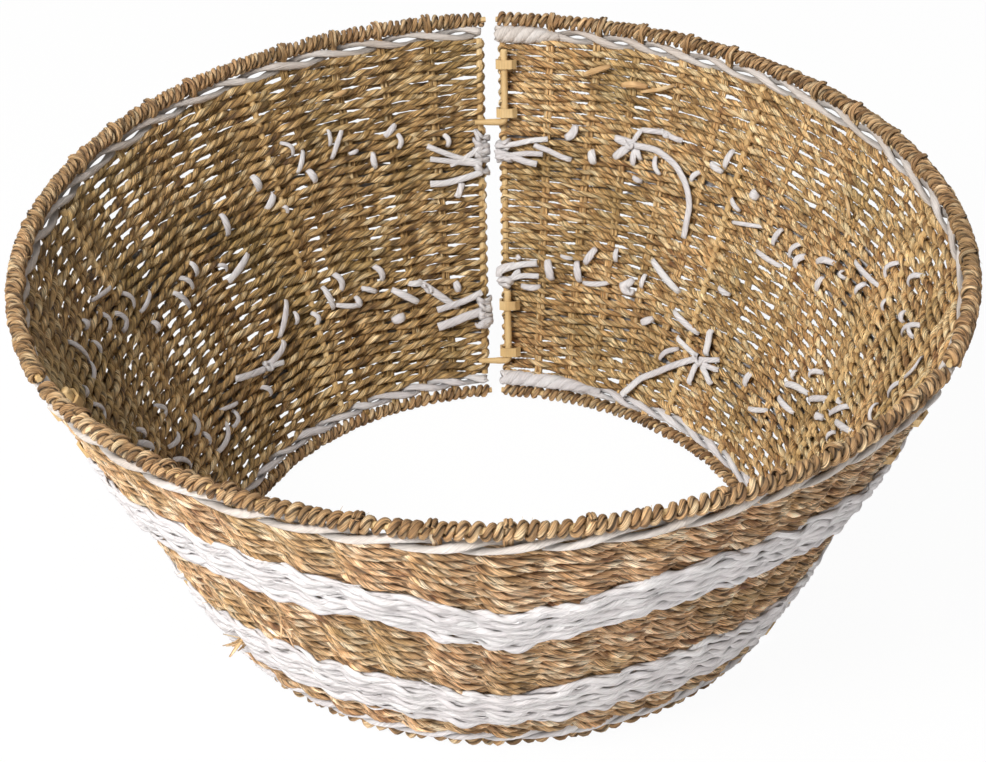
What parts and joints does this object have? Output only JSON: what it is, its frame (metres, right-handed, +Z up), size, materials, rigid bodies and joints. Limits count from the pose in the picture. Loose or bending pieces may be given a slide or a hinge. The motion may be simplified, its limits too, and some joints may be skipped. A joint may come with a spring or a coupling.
{
  "type": "christmas tree collar",
  "caption": "Open cone of hinged woven seagrass panels with wrapped rims and white woven bands, which stands on its narrow end round a Christmas tree's foot.",
  "frame": {"origin": "on the floor, at the centre of the bottom face of the part's box; the ring's own axis is 4 mm nearer the front", "axes": "+Z up, -Y towards the front panel, +X to the right of someone who looks at the front panel"},
  "size_m": [0.5656, 0.5677, 0.249],
  "materials": {
    "seagrass_weave": "matt twisted seagrass rope, woven round upright stakes",
    "seagrass_rim": "matt seagrass rope wound tightly round a rattan core",
    "rattan": "bare satin rattan",
    "rattan_strip": "bare flat rattan strip, satin",
    "white_paper_cord": "matt white twisted paper cord"
  },
  "bodies": {
    "front_panel": {"front_woven_wall": "seagrass_weave", "front_wide_rim_wrap": "seagrass_rim", "front_narrow_rim_wrap": "seagrass_rim", "front_wide_rim_core": "rattan", "front_narrow_rim_core": "rattan", "front_wide_edge_cord": "white_paper_cord", "front_narrow_edge_cord": "white_paper_cord", "front_upper_white_band": "white_paper_cord", "front_lower_white_band": "white_paper_cord", "front_pin_edge_stake": "rattan", "front_loop_edge_stake": "rattan", "front_inner_stake_1": "rattan", "front_inner_stake_2": "rattan", "front_upper_pin": "rattan", "front_lower_pin": "rattan", "front_upper_loop_1": "rattan_strip", "front_upper_loop_2": "rattan_strip", "front_lower_loop_1": "rattan_strip", "front_lower_loop_2": "rattan_strip"},
    "back_left_panel": {"back_left_woven_wall": "seagrass_weave", "back_left_wide_rim_wrap": "seagrass_rim", "back_left_narrow_rim_wrap": "seagrass_rim", "back_left_wide_rim_core": "rattan", "back_left_narrow_rim_core": "rattan", "back_left_wide_edge_cord": "white_paper_cord", "back_left_narrow_edge_cord": "white_paper_cord", "back_left_upper_white_band": "white_paper_cord", "back_left_lower_white_band": "white_paper_cord", "back_left_pin_edge_stake": "rattan", "back_left_loop_edge_stake": "rattan", "back_left_inner_stake_1": "rattan", "back_left_inner_stake_2": "rattan", "back_left_upper_loop_1": "rattan_strip", "back_left_upper_loop_2": "rattan_strip", "back_left_lower_loop_1": "rattan_strip", "back_left_lower_loop_2": "rattan_strip"},
    "back_right_panel": {"back_right_woven_wall": "seagrass_weave", "back_right_wide_rim_wrap": "seagrass_rim", "back_right_narrow_rim_wrap": "seagrass_rim", "back_right_wide_rim_core": "rattan", "back_right_narrow_rim_core": "rattan", "back_right_wide_edge_cord": "white_paper_cord", "back_right_narrow_edge_cord": "white_paper_cord", "back_right_upper_white_band": "white_paper_cord", "back_right_lower_white_band": "white_paper_cord", "back_right_pin_edge_stake": "rattan", "back_right_loop_edge_stake": "rattan", "back_right_inner_stake_1": "rattan", "back_right_inner_stake_2": "rattan", "back_right_upper_pin": "rattan", "back_right_lower_pin": "rattan", "back_right_upper_loop_1": "rattan_strip", "back_right_upper_loop_2": "rattan_strip", "back_right_lower_loop_1": "rattan_strip", "back_right_lower_loop_2": "rattan_strip"},
    "back_upper_pin": {"back_left_upper_pin": "rattan"},
    "back_lower_pin": {"back_left_lower_pin": "rattan"}
  },
  "joints": [
    {"name": "left_seam_hinge", "type": "hinge", "parent": "front_panel", "child": "back_left_panel", "pos_m": [-0.24345, -0.13409, 0.24664], "axis": [-0.3441, -0.1986, 0.9177], "range_deg": [0, 22]},
    {"name": "right_seam_hinge", "type": "hinge", "parent": "front_panel", "child": "back_right_panel", "pos_m": [0.23455, -0.1495, 0.24664], "axis": [-0.3441, 0.1986, -0.9177], "range_deg": [0, 22]},
    {"name": "back_upper_pin_turn", "type": "hinge", "parent": "back_right_panel", "child": "back_upper_pin", "pos_m": [0.0089, 0.27217, 0.24664], "axis": [0, 0.3973, 0.9177], "range_deg": [0, 150]},
    {"name": "back_lower_pin_turn", "type": "hinge", "parent": "back_right_panel", "child": "back_lower_pin", "pos_m": [0.0089, 0.27217, 0.24664], "axis": [0, 0.3973, 0.9177], "range_deg": [0, 150]}
  ]
}
